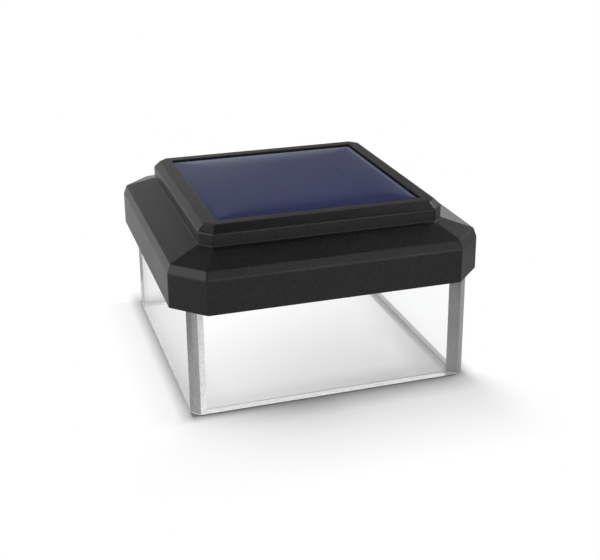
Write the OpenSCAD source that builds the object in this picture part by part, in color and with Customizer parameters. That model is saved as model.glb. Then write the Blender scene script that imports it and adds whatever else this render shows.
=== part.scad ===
// Solar deck post cap light: a two-tier moulded cap with a resin-domed solar panel, on a thick glass skirt.
// The skirt's open bottom stands on the post, with Z up and the origin in the middle of its foot.

/* [Cap housing] */
// Width of the lower tier across its flats
cap_w = 150; // [146:1:170]
// Height of the glass that shows below the cap
skirt_show = 52; // [44:1:70]
// Height of the lower tier's upright wall
wall_h = 16.3; // [15:0.1:20]
// Height of the bevel over that wall
bevel_h = 4.3; // [3:0.1:5]
// How far that bevel leans in
bevel_in = 1.6; // [1:0.1:2.5]
// Rise of the long roof slope
slope_h = 5; // [4:0.1:7]
// Distance of the upper tier's wall inside the lower tier's
tier_in = 16; // [15:0.5:19]
// Height of the upper tier's upright wall
tier_h = 6.1; // [5.5:0.1:8]
// Height of the crown bevel
crown_h = 3.3; // [2.6:0.1:4]
// How far the crown bevel leans in
crown_in = 3.2; // [2:0.1:3.8]
// Corner cut of the lower wall, measured along each side
cap_cut = 14.5; // [10:0.5:18]
// Corner cut where the roof slope starts
bevel_cut = 13.3; // [9:0.1:16]
// Corner cut of the upper tier
tier_cut = 5.5; // [4:0.1:8]
// Corner cut of the crown
crown_cut = 3.8; // [2:0.1:5]
// Thickness of the moulded walls
wall = 2; // [1.6:0.1:2.1]
// Breadth and height of the ledge that the tray's seal meets
ledge = 3.4; // [3:0.1:4]
// Thickness of the inner ribs
rib_t = 1.6; // [1.2:0.1:2.4]
// Distance of the ribs from the middle of each side
rib_at = 26; // [15:1:40]

/* [Solar panel] */
// Breadth of the flat frame round the window in the top
frame_w = 5.8; // [4.8:0.1:9]
// Depth of the window's recess
window_depth = 4.2; // [3.6:0.1:4.6]
// Thickness of the plastic floor under the panel
deck_t = 2.2; // [1.6:0.1:2.6]
// Play round the panel in its window
panel_play = 0.3; // [0.2:0.1:0.6]
// Thickness of the foam tape under the panel
tape_t = 0.6; // [0.4:0.1:0.8]
// Width of the foam tape
tape_w = 8; // [5:1:14]
// Thickness of the panel's board
panel_board_t = 1.2; // [0.8:0.1:1.4]
// Thickness of the silicon cells
cell_t = 0.3; // [0.2:0.05:0.5]
// Number of cell strips
cell_count = 5; // [3:1:8]
// Gap between two cell strips
cell_gap = 0.3; // [0.3:0.1:1]
// Bare edge of the board round the cells
cell_edge = 2.2; // [1.5:0.1:4]
// Thickness of the clear resin at its edge
resin_edge_t = 1.2; // [0.8:0.1:1.4]
// Rise of the resin from its edge to its flat middle
resin_crown = 0.8; // [0.3:0.1:1]
// Width of the rounded border that makes this rise
resin_round = 20; // [4:1:30]

/* [Glass skirt] */
// Distance of the skirt's outer faces inside the cap's wall
skirt_in = 6.8; // [6.7:0.1:7.5]
// Thickness of the glass
glass_t = 8; // [6:0.5:10]
// Corner cut of the skirt, of which each pane's ground bevel makes one half
skirt_cut = 4.2; // [4.2:0.1:7]
// Depth to which the glass goes up into the cap
glass_grip = 8; // [6:0.5:9]
// Ground arris on the long edges of each pane
arris = 0.5; // [0.3:0.1:1]
// Thickness of the silicone bed on top of the glass
bed_t = 1.5; // [1:0.1:2]

/* [Underside tray] */
// Thickness of the tray's plate
tray_t = 2.5; // [2:0.1:3]
// Height of the stiffening ribs on the tray
tray_rib_h = 3; // [1:0.5:5]
// Distance of those ribs from the middle
tray_rib_x = 45; // [42:0.5:48]
// Bore in the tray for the lamp board's wires
wire_bore = 5; // [3:0.5:7]
// Play between the tray and the cap's inner wall
tray_play = 0.3; // [0.2:0.1:0.5]
// Play between the glass and the tray's lips
glass_play = 0.3; // [0.2:0.1:0.5]
// Thickness of the lips on the inside of the glass
lip_t = 2; // [1.6:0.1:2.4]
// Height of those lips
lip_h = 6; // [4:0.5:7]
// Length of those lips
lip_l = 84; // [60:1:90]
// Length of the flanges outside the glass
flange_l = 112; // [80:1:116]
// Thickness of the foam seal on the tray's rim
rim_seal_t = 1.5; // [1:0.1:2]
// Width of that seal
rim_seal_w = 2.6; // [2:0.1:3]
// Diameter of the tray screws
screw_d = 3; // [2.5:0.5:3.5]
// Length of the tray screws under their heads
screw_l = 9; // [8:0.5:10]
// Diameter of the tray screws' heads
screw_head_d = 5.6; // [5:0.1:6]
// Distance of the tray screws inside the glass's inner faces
screw_in = 4.2; // [4:0.1:5]
// Diameter of the screw bosses
boss_d = 7.6; // [7:0.1:8]

/* [Light ring] */
// Gap between the ring's cover and the battery cover
ring_gap = 1.2; // [1:0.1:2]
// Wall of the frosted cover
cover_wall = 1.4; // [1:0.1:1.8]
// Depth of the frosted cover below the tray
cover_h = 4.4; // [4:0.1:5]
// Thickness of the lamp board
lamp_board_t = 1.2; // [1:0.1:1.6]
// Number of lamps on each side of the ring
lamps_per_side = 3; // [2:1:5]
// Size of a lamp along the ring
lamp_l = 3.5; // [2.8:0.1:4]
// Size of a lamp across the ring
lamp_b = 2.8; // [2:0.1:3.2]
// Height of a lamp
lamp_t = 0.8; // [0.6:0.1:1]

/* [Battery bay] */
// Diameter of a battery
battery_d = 14.5; // [14:0.1:14.6]
// Length of a battery with its nub
battery_l = 50.5; // [49:0.1:51]
// Inner length of the bay
bay_l = 60; // [58:0.5:61]
// Play beside each battery
battery_play = 0.25; // [0.2:0.05:0.4]
// Wall of the bay
bay_wall = 1.4; // [1.2:0.1:1.6]
// Place of the bay's middle along Y
bay_y = 15.5; // [14:0.5:16]
// Height of the batteries' middle over the tray's underside
battery_rise = 8.2; // [7.8:0.1:8.6]
// Distance of the springs' widest turn inside the battery's edge
spring_in = 2.6; // [2:0.1:3.5]
// Wire of the battery springs
spring_wire = 0.8; // [0.6:0.1:1]
// Turns of a battery spring
spring_turns = 4; // [3:1:5]
// Thickness of the contact plates
contact_t = 0.4; // [0.3:0.1:0.6]

/* [Battery cover] */
// Distance by which the cover's ends reach past the bay
lid_end = 5.6; // [5.4:0.1:6]
// Distance by which the cover's sides reach past the bay
lid_side = 2.9; // [2:0.1:3.5]
// Thickness of the cover
lid_t = 2; // [1.6:0.1:2.4]
// Gap between the cover and the tray, which the seal fills
lid_gap = 0.3; // [0.2:0.1:0.5]
// Width of the cover's seal
lid_seal_w = 1.6; // [1.2:0.1:2]
// Diameter of the cover screws
lid_screw_d = 2; // [1.6:0.1:2.2]
// Radial play of the cover screws in the tray
lid_screw_play = 0.15; // [0.1:0.05:0.25]
// Length of those screws in the tray
lid_screw_grip = 4; // [3:0.1:4.5]
// Travel of the cover as it is lifted off
lid_travel = 30; // [15:1:40]

/* [Controls] */
// Length of the control board
board_l = 56; // [50:1:60]
// Breadth of the control board
board_b = 24; // [22:1:26]
// Thickness of the control board
board_t = 1.6; // [1:0.1:1.6]
// Diameter of the board screws
board_screw_d = 1.6; // [1.4:0.1:1.8]
// Diameter of the board screws' heads
board_screw_head_d = 3.6; // [3:0.1:4]
// Length of the board screws in their posts
board_screw_grip = 3.4; // [3:0.1:3.6]
// Diameter of the charge coil
coil_d = 6; // [5:0.1:7]
// Height of the charge coil
coil_h = 4.2; // [3:0.1:5]
// Diameter of the capacitor
capacitor_d = 6.2; // [5:0.1:7]
// Height of the capacitor
capacitor_h = 7; // [5:0.1:8]
// Height of the switch body, which is also that of the board's posts
switch_h = 3.4; // [3:0.1:4]
// Length of the switch body
switch_l = 11; // [10:0.5:13]
// Breadth of the switch body
switch_b = 5.6; // [5:0.1:6]
// Travel of the switch slider
switch_travel = 3; // [2:0.5:4]
// Play round the slider's stem
stem_play = 0.3; // [0.2:0.05:0.4]
// Size of the slider's square stem
stem = 2.4; // [2:0.1:3]
// Length of the slider's ribbed button
button_l = 9; // [7:0.5:10]
// Breadth of the slider's ribbed button
button_b = 5; // [4:0.5:6]
// Thickness of the slider's ribbed button
button_t = 1.6; // [1.2:0.1:2]

/* [Hidden] */
$fn = 48;
eps = 0.01;
// Length that carries a cut clear of the face it opens
over = 1;

// Levels of the cap's outline, from its rim up
rim_z = skirt_show;
wall_z = rim_z + wall_h;
bevel_z = wall_z + bevel_h;
slope_z = bevel_z + slope_h;
tier_z = slope_z + tier_h;
top_z = tier_z + crown_h;
cap_r = cap_w / 2;
tier_r = cap_r - tier_in;
// Each level as half width, height and corner cut
LEVELS = [
    [cap_r, rim_z, cap_cut],
    [cap_r, wall_z, cap_cut],
    [cap_r - bevel_in, bevel_z, bevel_cut],
    [tier_r, slope_z, tier_cut],
    [tier_r, tier_z, tier_cut],
    [tier_r - crown_in, top_z, crown_cut]];
side_line = [for (l = LEVELS) [l[0], l[1]]];
corner_line = [for (l = LEVELS) [(2 * l[0] - l[2]) / sqrt(2), l[1]]];
window_w = 2 * (tier_r - crown_in - frame_w);
window_z = top_z - window_depth;
ceiling_z = window_z - deck_t;
inner_r = cap_r - wall;

// Levels of the skirt and the tray
glass_r = cap_r - skirt_in;
glass_top = rim_z + glass_grip;
tray_z = glass_top + bed_t;
tray_top = tray_z + tray_t;
ledge_z = tray_top + rim_seal_t;
tray_r = inner_r - tray_play;
flange_r = glass_r + glass_play;
flange_drop = glass_grip + bed_t - 1.5;
lip_r = glass_r - glass_t - glass_play;
screw_at = glass_r - glass_t - screw_in;
lamp_z = tray_z - lamp_board_t;

// Solar panel
panel_w = window_w - 2 * panel_play;
panel_z = window_z + tape_t;
cells_z = panel_z + panel_board_t;
resin_z = cells_z + cell_t;

// Battery bay
bay_b = 2 * battery_d + 6 * battery_play;
battery_z = tray_z + battery_rise;
battery_dy = battery_d / 2 + battery_play;
bay_top = ceiling_z - 0.3;
nub_l = 1.5;
spring_l = bay_l - 2 * contact_t - battery_l;
spring_r = battery_d / 2 - spring_in;
lid_l = bay_l + 2 * bay_wall + 2 * lid_end;
lid_b = bay_b + 2 * bay_wall + 2 * lid_side;
lid_z = tray_z - lid_gap;
lid_screw_x = lid_l / 2 - 2.2;
seal_l = bay_l + 2 * lid_seal_w;
seal_b = bay_b + 2 * lid_seal_w;
seal_t = lid_gap + 0.7;

// Light ring, between the tray screws' heads and the battery cover
ring_r = screw_at - screw_head_d / 2 - 0.2;
ring_b = ring_r - lid_l / 2 - ring_gap;
ring_mid = ring_r - ring_b / 2;

// Controls
board_y = bay_y - bay_b / 2 - bay_wall - 2.4 - board_b / 2;
board_z = tray_top + switch_h;
board_top = board_z + board_t;
post_x = board_l / 2 - 4;
coil_x = board_l / 2 - 18;
stem_x = -switch_travel / 2;

// Corner cut of an octagon that lies a distance d inside one with the given cut
function inner_cut(cut, d) = cut - d * (2 - sqrt(2));
// Unit normal, to the inner side, of the line from a to b that runs upward
function inward(a, b) = let (v = b - a) [-v[1], v[0]] / norm(v);
// Point i of a line moved inwards by d, with mitred corners
function inset_point(line, i, d) =
    let (n1 = i > 0 ? inward(line[i - 1], line[i]) : inward(line[i], line[i + 1]),
         n2 = i < len(line) - 1 ? inward(line[i], line[i + 1]) : n1)
    line[i] + (n1 + n2) * d / (1 + n1 * n2);
function inset_line(line, d) = [for (i = [0 : len(line) - 1]) inset_point(line, i, d)];
// Half profile made whole by its mirror image
function both_sides(line) = concat(line, [for (i = [len(line) - 1 : -1 : 0]) [-line[i][0], line[i][1]]]);

// Square outline with cut corners, half width r
module octagon(r, cut) {
    polygon([[-r, cut - r], [cut - r, -r], [r - cut, -r], [r, cut - r],
        [r, r - cut], [r - cut, r], [cut - r, r], [-r, r - cut]]);
}

module octagon_plate(r, cut, z, h) {
    translate([0, 0, z]) linear_extrude(h) octagon(r, cut);
}

// Square ring of the given outer half width and breadth
module square_ring(r, b, z, h) {
    translate([0, 0, z]) linear_extrude(h) difference() {
        square(2 * r, center = true);
        square(2 * (r - b), center = true);
    }
}

// Upright profile carried along one horizontal direction
module profile_bar(line, turn) {
    length = 3 * cap_w;
    rotate([0, 0, turn]) rotate([90, 0, 0]) translate([0, 0, -length / 2])
        linear_extrude(length) polygon(both_sides(line));
}

// Body whose four side profiles and four corner profiles follow the two given lines
module two_tier_form(sides, corners) {
    intersection() {
        profile_bar(sides, 0);
        profile_bar(sides, 90);
        profile_bar(corners, 45);
        profile_bar(corners, -45);
    }
}

// The four corners of a square of half width r
module at_corners(r) {
    for (x = [-r, r], y = [-r, r]) translate([x, y, 0]) children();
}

// The inner line of a shell wall, from under the rim to the ceiling
function cavity_line(line) =
    let (inner = inset_line(line, wall), foot = inner[0], shoulder = inner[3])
    [[foot[0], rim_z - over], inner[1], inner[2], shoulder, [shoulder[0], ceiling_z]];

module cap_shell() {
    color("#2b2b2d") {
        difference() {
            union() {
                difference() {
                    two_tier_form(side_line, corner_line);
                    two_tier_form(cavity_line(side_line), cavity_line(corner_line));
                }
                difference() {
                    octagon_plate(inner_r + 0.5 * wall, inner_cut(cap_cut, 0.5 * wall), ledge_z, ledge / 2);
                    octagon_plate(inner_r - ledge, inner_cut(cap_cut, wall + ledge), ledge_z - over, ledge + over);
                }
                intersection() {
                    two_tier_form(inset_line(side_line, 0.5 * wall), inset_line(corner_line, 0.5 * wall));
                    union() {
                        for (turn = [0 : 90 : 270], x = [-rib_at, rib_at]) rotate([0, 0, turn])
                            translate([x - rib_t / 2, tier_r - wall - 4, ledge_z])
                                cube([rib_t, cap_r, top_z]);
                        at_corners(screw_at) translate([0, 0, tray_top]) cylinder(h = top_z, d = boss_d);
                    }
                }
            }
            translate([-window_w / 2, -window_w / 2, window_z]) cube([window_w, window_w, window_depth + over]);
            at_corners(screw_at) translate([0, 0, tray_top - over])
                cylinder(h = screw_l - tray_t + over, d = screw_d - 0.5);
            translate([0, board_y, ceiling_z - over]) cylinder(h = deck_t + 2 * over, d = 7);
        }
    }
}

module panel_tape() {
    color("#3a3a3a") square_ring(panel_w / 2, tape_w, window_z, tape_t);
}

module panel_board() {
    color("#1c3a2c") difference() {
        translate([-panel_w / 2, -panel_w / 2, panel_z]) cube([panel_w, panel_w, panel_board_t]);
        for (x = [-1.3, 1.3]) translate([x, board_y, panel_z - over])
            cylinder(h = panel_board_t + 2 * over, d = 1);
    }
}

module solar_cells() {
    field = panel_w - 2 * cell_edge;
    strip = (field - (cell_count - 1) * cell_gap) / cell_count;
    color("#1d2a5c") for (i = [0 : cell_count - 1])
        translate([-field / 2 + i * (strip + cell_gap), -field / 2, cells_z]) cube([strip, field, cell_t]);
}

// Resin with a low upright edge and a pillowed top
module panel_resin() {
    r = panel_w / 2;
    edge_z = resin_z + resin_edge_t;
    field = panel_w - 2 * cell_edge;
    line = concat([[r, cells_z]], [for (a = [0 : 10 : 90])
        [r - resin_round * (1 - cos(a)), edge_z + resin_crown * sin(a)]]);
    color("#3c4680", 0.5) difference() {
        intersection() {
            profile_bar(line, 0);
            profile_bar(line, 90);
        }
        translate([-field / 2, -field / 2, cells_z - over]) cube([field, field, cell_t + over]);
    }
}

module rim_seal() {
    color("#1a1a1a") difference() {
        octagon_plate(tray_r, inner_cut(cap_cut, wall + tray_play), tray_top, rim_seal_t);
        octagon_plate(tray_r - rim_seal_w, inner_cut(cap_cut, wall + tray_play + rim_seal_w),
            tray_top - over, rim_seal_t + 2 * over);
    }
}

// Where the batteries' cross ribs stand, along X
saddle_x = [-14, 14];

module base_tray() {
    color("#29292b") difference() {
        union() {
            octagon_plate(tray_r, inner_cut(cap_cut, wall + tray_play), tray_z, tray_t);
            for (turn = [0 : 90 : 270]) rotate([0, 0, turn]) {
                translate([-lip_l / 2, lip_r - lip_t, tray_z - lip_h]) cube([lip_l, lip_t, lip_h + eps]);
                translate([-flange_l / 2, flange_r, tray_z - flange_drop])
                    cube([flange_l, tray_r - flange_r, flange_drop + eps]);
            }
            translate([-bay_l / 2 - bay_wall, bay_y - bay_b / 2 - bay_wall, tray_z])
                cube([bay_l + 2 * bay_wall, bay_b + 2 * bay_wall, bay_top - tray_z]);
            for (x = [-lid_screw_x, lid_screw_x]) translate([x, bay_y, tray_z])
                cylinder(h = 6, d = lid_screw_d + 3.4);
            for (x = [-post_x, post_x]) translate([x, board_y, tray_z])
                cylinder(h = board_z - tray_z, d = board_screw_d + 3);
            for (x = [-tray_rib_x, tray_rib_x]) translate([x - rib_t / 2, -screw_at + boss_d, tray_z])
                cube([rib_t, 2 * (screw_at - boss_d), tray_t + tray_rib_h]);
        }
        translate([0, -ring_mid, tray_z - over]) cylinder(h = tray_t + 2 * over, d = wire_bore);
        difference() {
            translate([-bay_l / 2, bay_y - bay_b / 2, tray_z - over])
                cube([bay_l, bay_b, bay_top - bay_wall - tray_z + over]);
            for (x = saddle_x) translate([x - rib_t / 2, bay_y - bay_b / 2, battery_z + battery_d / 2 + battery_play])
                cube([rib_t, bay_b, top_z]);
        }
        at_corners(screw_at) translate([0, 0, tray_z - over])
            cylinder(h = tray_t + 2 * over, d = screw_d + 0.4);
        for (x = [-lid_screw_x, lid_screw_x]) translate([x, bay_y, tray_z - over])
            cylinder(h = 5 + over, d = lid_screw_d + 2 * lid_screw_play);
        for (x = [-post_x, post_x]) translate([x, board_y, board_z - board_screw_grip - 0.6])
            cylinder(h = board_screw_grip + 0.6 + over, d = board_screw_d);
        translate([stem_x - stem / 2 - stem_play, board_y - stem / 2 - stem_play, tray_z - over])
            cube([stem + switch_travel + 2 * stem_play, stem + 2 * stem_play, tray_t + 2 * over]);
    }
}

module glass_bed() {
    color("#d9dde0") difference() {
        octagon_plate(glass_r, skirt_cut, glass_top, bed_t);
        translate([0, 0, glass_top - over]) linear_extrude(bed_t + 2 * over)
            square(2 * (glass_r - glass_t), center = true);
    }
}

// One mitred pane, on the front side before it is turned, with its ends and its bottom edges ground off
module glass_pane(turn) {
    r = glass_r;
    t = glass_t;
    c = skirt_cut;
    pane = [[c - r, -r], [r - c, -r], [r - c / 2, c / 2 - r], [r - t, t - r], [t - r, t - r],
        [c / 2 - r, c / 2 - r]];
    side = [[-r, arris], [arris - r, 0], [t - r - arris, 0], [t - r, arris], [t - r, glass_top], [-r, glass_top]];
    color("#dfeaea", 0.35) rotate([0, 0, turn]) intersection() {
        linear_extrude(glass_top) polygon(pane);
        rotate([90, 0, 90]) translate([0, 0, -r - over]) linear_extrude(2 * (r + over)) polygon(side);
    }
}

module glass_front() { glass_pane(0); }
module glass_right() { glass_pane(90); }
module glass_back() { glass_pane(180); }
module glass_left() { glass_pane(270); }

// Pan-head screw that points up, with the underside of its head at z = 0
module pan_screw(d, length, head_d, head_h) {
    rotate_extrude() polygon([[0, -head_h], [head_d / 2 - 0.5, -head_h], [head_d / 2, -head_h + 0.5],
        [head_d / 2, 0], [d / 2, 0], [d / 2, length - d / 2], [0, length]]);
}

module cross_recess(size, depth) {
    for (turn = [0, 90]) rotate([0, 0, turn]) translate([-size / 2, -size / 8, 0]) cube([size, size / 4, depth]);
}

module tray_screws() {
    head_h = 2;
    color("#b9bcc0") at_corners(screw_at) translate([0, 0, tray_z]) difference() {
        pan_screw(screw_d - 0.5, screw_l, screw_head_d, head_h);
        translate([0, 0, -head_h - eps]) cross_recess(3, 1.1);
    }
}

module lamp_board() {
    color("#e9e9e4") square_ring(ring_mid + ring_b / 2 - cover_wall - 0.3, ring_b - 2 * cover_wall - 0.6,
        lamp_z, lamp_board_t);
}

module lamps() {
    pitch = 2 * ring_mid / lamps_per_side;
    color("#f4e9b0") for (turn = [0 : 90 : 270], i = [0 : lamps_per_side - 1]) rotate([0, 0, turn])
        translate([(i - (lamps_per_side - 1) / 2) * pitch, ring_mid, lamp_z - lamp_t / 2])
            cube([lamp_l, lamp_b, lamp_t], center = true);
}

module lamp_cover() {
    color("#f2f3f2") difference() {
        square_ring(ring_r, ring_b, tray_z - cover_h, cover_h);
        square_ring(ring_r - cover_wall, ring_b - 2 * cover_wall, tray_z - cover_h + cover_wall, cover_h);
    }
}

// Battery along +X from its flat end, nub last
module battery(label) {
    r = battery_d / 2;
    color(label) rotate([0, 90, 0]) rotate_extrude() polygon([[0, 0], [r - 0.8, 0], [r, 0.8],
        [r, battery_l - nub_l - 0.8], [r - 0.8, battery_l - nub_l], [2.7, battery_l - nub_l], [2.7, battery_l],
        [0, battery_l]]);
}

module battery_front() {
    translate([spring_l + contact_t - bay_l / 2, bay_y - battery_dy, battery_z]) battery("#3f7f57");
}

module battery_back() {
    translate([bay_l / 2 - spring_l - contact_t, bay_y + battery_dy, battery_z]) rotate([0, 0, 180])
        battery("#3f7f57");
}

// Rings of a wire that winds along +X and narrows from r0 to r1
function coil_ring(u, r0, r1, length, sides) =
    let (a = 360 * spring_turns * u, r = r0 + (r1 - r0) * u, w = spring_wire / 2,
         x = w + (length - 2 * w) * u)
    [for (s = [0 : sides - 1]) let (b = 360 * s / sides)
        [x + w * sin(b), (r + w * cos(b)) * cos(a), (r + w * cos(b)) * sin(a)]];

module coil_spring(length) {
    sides = 6;
    rings = 16 * spring_turns;
    points = [for (i = [0 : rings]) each coil_ring(i / rings, spring_r, 0.7 * spring_r, length, sides)];
    walls = [for (i = [0 : rings - 1], s = [0 : sides - 1]) let (t = (s + 1) % sides)
        [i * sides + s, i * sides + t, (i + 1) * sides + t, (i + 1) * sides + s]];
    ends = [[for (s = [sides - 1 : -1 : 0]) s], [for (s = [0 : sides - 1]) rings * sides + s]];
    polyhedron(points, concat(walls, ends), convexity = 8);
}

module battery_springs() {
    x = bay_l / 2 - contact_t;
    color("#c9ccce") {
        translate([-x, bay_y - battery_dy, battery_z]) coil_spring(spring_l);
        translate([x, bay_y + battery_dy, battery_z]) rotate([0, 0, 180]) coil_spring(spring_l);
    }
}

module contact_plates() {
    w = battery_d - 3;
    color("#c9ccce") for (y = [bay_y - battery_dy, bay_y + battery_dy])
        translate([-bay_l / 2, y - w / 2, battery_z - w / 2]) cube([contact_t, w, w]);
}

module contact_bridge() {
    w = battery_d - 3;
    color("#c9ccce") translate([bay_l / 2 - contact_t, bay_y - battery_dy - w / 2, battery_z - w / 2])
        cube([contact_t, 2 * battery_dy + w, w]);
}

module battery_cover() {
    grip_l = 16;
    color("#29292b") difference() {
        translate([-lid_l / 2, bay_y - lid_b / 2, lid_z - lid_t]) linear_extrude(lid_t) difference() {
            square([lid_l, lid_b]);
            for (x = [0, lid_l], y = [0, lid_b]) translate([x, y]) rotate([0, 0, 45]) square(3, center = true);
        }
        difference() {
            translate([-seal_l / 2, bay_y - seal_b / 2, tray_z - seal_t]) cube([seal_l, seal_b, seal_t]);
            translate([-seal_l / 2 + lid_seal_w, bay_y - seal_b / 2 + lid_seal_w, tray_z - seal_t - over])
                cube([seal_l - 2 * lid_seal_w, seal_b - 2 * lid_seal_w, seal_t + 2 * over]);
        }
        for (x = [-lid_screw_x, lid_screw_x]) translate([x, bay_y, lid_z - lid_t - over])
            cylinder(h = lid_t + 2 * over, d = lid_screw_d);
        for (x = [-grip_l / 2 : 4 : grip_l / 2]) translate([x - 0.8, bay_y - 6, lid_z - lid_t - eps])
            cube([1.6, 12, 0.7]);
    }
}

module cover_seal() {
    color("#1a1a1a") translate([-seal_l / 2, bay_y - seal_b / 2, tray_z - seal_t]) difference() {
        cube([seal_l, seal_b, seal_t]);
        translate([lid_seal_w, lid_seal_w, -over])
            cube([seal_l - 2 * lid_seal_w, seal_b - 2 * lid_seal_w, seal_t + 2 * over]);
    }
}

module cover_screws() {
    head_h = 1.4;
    color("#b9bcc0") for (x = [-lid_screw_x, lid_screw_x]) translate([x, bay_y, lid_z - lid_t]) difference() {
        pan_screw(lid_screw_d, lid_t + lid_gap + lid_screw_grip, lid_screw_d + 1.8, head_h);
        translate([0, 0, -head_h - eps]) cross_recess(2, 0.8);
    }
}

module control_board() {
    color("#2f6b3f") difference() {
        translate([-board_l / 2, board_y - board_b / 2, board_z]) cube([board_l, board_b, board_t]);
        for (x = [-post_x, post_x]) translate([x, board_y, board_z - over])
            cylinder(h = board_t + 2 * over, d = board_screw_d + 0.6);
    }
}

// Chip with its row of bent legs on both sides
module controller_chip() {
    size = [5, 4, 1.4];
    legs = 4;
    color("#202022") translate([-coil_x - 2, board_y, board_top]) {
        translate([-size[0] / 2, -size[1] / 2, 0.1]) cube(size);
        for (i = [0 : legs - 1], side = [-1, 1])
            translate([(i - (legs - 1) / 2) * 1.27 - 0.2, side > 0 ? size[1] / 2 - 0.2 : -size[1] / 2 - 0.9, 0])
                cube([0.4, 1.1, 0.25]);
    }
}

module charge_coil() {
    r = coil_d / 2;
    waist = r - 0.8;
    color("#3a3836") translate([coil_x, board_y + 5, board_top]) rotate_extrude()
        polygon([[0, 0], [r, 0], [r, 0.9], [waist, 1.2], [waist, coil_h - 1.2], [r, coil_h - 0.9], [r, coil_h],
            [0, coil_h]]);
}

module capacitor() {
    r = capacitor_d / 2;
    color("#41527d") translate([coil_x, board_y - 5, board_top]) rotate_extrude()
        polygon([[0, 0], [r - 0.2, 0], [r, 0.4], [r - 0.3, 0.9], [r, 1.4], [r, capacitor_h - 0.4],
            [r - 0.3, capacitor_h], [0, capacitor_h]]);
}

module panel_socket() {
    size = [7.4, 5, 5.6];
    color("#efece2") translate([0, board_y, board_top]) difference() {
        translate([-size[0] / 2, -size[1] / 2, 0]) cube(size);
        translate([-size[0] / 2 + 0.8, -size[1] / 2 + 0.8, 1.2]) cube([size[0] - 1.6, size[1] - 1.6, size[2]]);
    }
}

module board_screws() {
    color("#b9bcc0") for (x = [-post_x, post_x]) translate([x, board_y, board_top]) mirror([0, 0, 1])
        pan_screw(board_screw_d, board_t + board_screw_grip, board_screw_head_d, 1.2);
}

module switch_body() {
    room = [stem + switch_travel + 2 * stem_play, stem + 2 * stem_play];
    color("#b0b3b6") difference() {
        translate([-switch_l / 2, board_y - switch_b / 2, tray_top]) cube([switch_l, switch_b, switch_h]);
        translate([stem_x - stem / 2 - stem_play, board_y - room[1] / 2, tray_top - over])
            cube([room[0], room[1], switch_h - 0.8 + over]);
    }
}

module switch_slider() {
    color("#1f1f21") {
        translate([stem_x - stem / 2, board_y - stem / 2, tray_z - stem_play - eps])
            cube([stem, stem, tray_t + stem_play + switch_h - 0.8 - stem_play]);
        translate([stem_x, board_y, tray_z - stem_play - button_t]) difference() {
            translate([-button_l / 2, -button_b / 2, 0]) cube([button_l, button_b, button_t]);
            for (x = [-button_l / 2 + 1.5 : 1.5 : button_l / 2 - 1]) translate([x - 0.3, -button_b / 2 - over, -eps])
                cube([0.6, button_b + 2 * over, 0.5]);
        }
    }
}

cap_shell();
panel_tape();
panel_board();
solar_cells();
panel_resin();
rim_seal();
base_tray();
glass_bed();
glass_front();
glass_right();
glass_back();
glass_left();
tray_screws();
lamp_board();
lamps();
lamp_cover();
battery_front();
battery_back();
battery_springs();
contact_plates();
contact_bridge();
battery_cover();
cover_seal();
cover_screws();
control_board();
controller_chip();
charge_coil();
capacitor();
panel_socket();
board_screws();
switch_body();
switch_slider();
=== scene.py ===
"""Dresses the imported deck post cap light: moulded cap, resin-domed panel, glass skirt and a white studio."""

from math import radians

import bpy
import numpy as np
from bpy.props import FloatProperty, FloatVectorProperty, PointerProperty
from mathutils import Euler, Matrix, Vector


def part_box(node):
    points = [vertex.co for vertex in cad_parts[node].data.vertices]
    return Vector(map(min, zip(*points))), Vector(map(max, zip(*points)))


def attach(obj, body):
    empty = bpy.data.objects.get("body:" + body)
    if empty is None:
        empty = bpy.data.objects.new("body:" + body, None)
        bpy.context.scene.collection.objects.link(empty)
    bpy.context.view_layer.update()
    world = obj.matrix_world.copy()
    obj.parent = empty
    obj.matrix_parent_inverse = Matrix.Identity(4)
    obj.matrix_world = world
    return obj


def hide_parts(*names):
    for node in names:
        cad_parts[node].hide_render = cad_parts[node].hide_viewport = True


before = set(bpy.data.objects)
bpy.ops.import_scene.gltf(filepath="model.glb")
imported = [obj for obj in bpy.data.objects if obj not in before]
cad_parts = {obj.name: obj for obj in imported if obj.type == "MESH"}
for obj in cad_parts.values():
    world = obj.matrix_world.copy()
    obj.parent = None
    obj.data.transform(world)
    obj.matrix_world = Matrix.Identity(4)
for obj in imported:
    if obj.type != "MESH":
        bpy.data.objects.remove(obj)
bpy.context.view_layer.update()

bl_info = {
    "name": "Post cap light dresser",
    "version": (1, 0, 0),
    "blender": (4, 5, 0),
    "location": "View3D > Sidebar > Post cap",
    "description": "Builds the look of a solar deck post cap light round its packed frame",
    "category": "Object",
}

MM = 0.001
HOUSING = "housing"
# Half width, corner cut and corner radius of the little square in the middle that closes a skin
HUB = (0.020, 0.004, 0.002)
WHITE = (1.0, 1.0, 1.0)
# What the floor and the surroundings give more to a ray through glass, to make good what the glass takes
GLASS_LOSS = 0.08
# Width of the camera's sensor in millimetres
SENSOR = 36.0


# ---------------------------------------------------------------- sizes and colours a user would change

def length(name, value, description):
    """A length in metres that is given in millimetres."""
    return FloatProperty(name=name, description=description, default=value * MM, unit="LENGTH", precision=5)


def colour(name, value, description):
    """A linear colour."""
    return FloatVectorProperty(name=name, description=description, default=value, subtype="COLOR",
                               min=0, max=1)


def share(name, value, description):
    """A factor from nothing to all."""
    return FloatProperty(name=name, description=description, default=value, min=0, max=1, subtype="FACTOR")


def bearing(name, value, description):
    """An angle that is given in degrees."""
    return FloatProperty(name=name, description=description, default=radians(value), subtype="ANGLE")


def number(name, value, description, unit="NONE"):
    """A strength, power or other number."""
    return FloatProperty(name=name, description=description, default=value, unit=unit)


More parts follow.
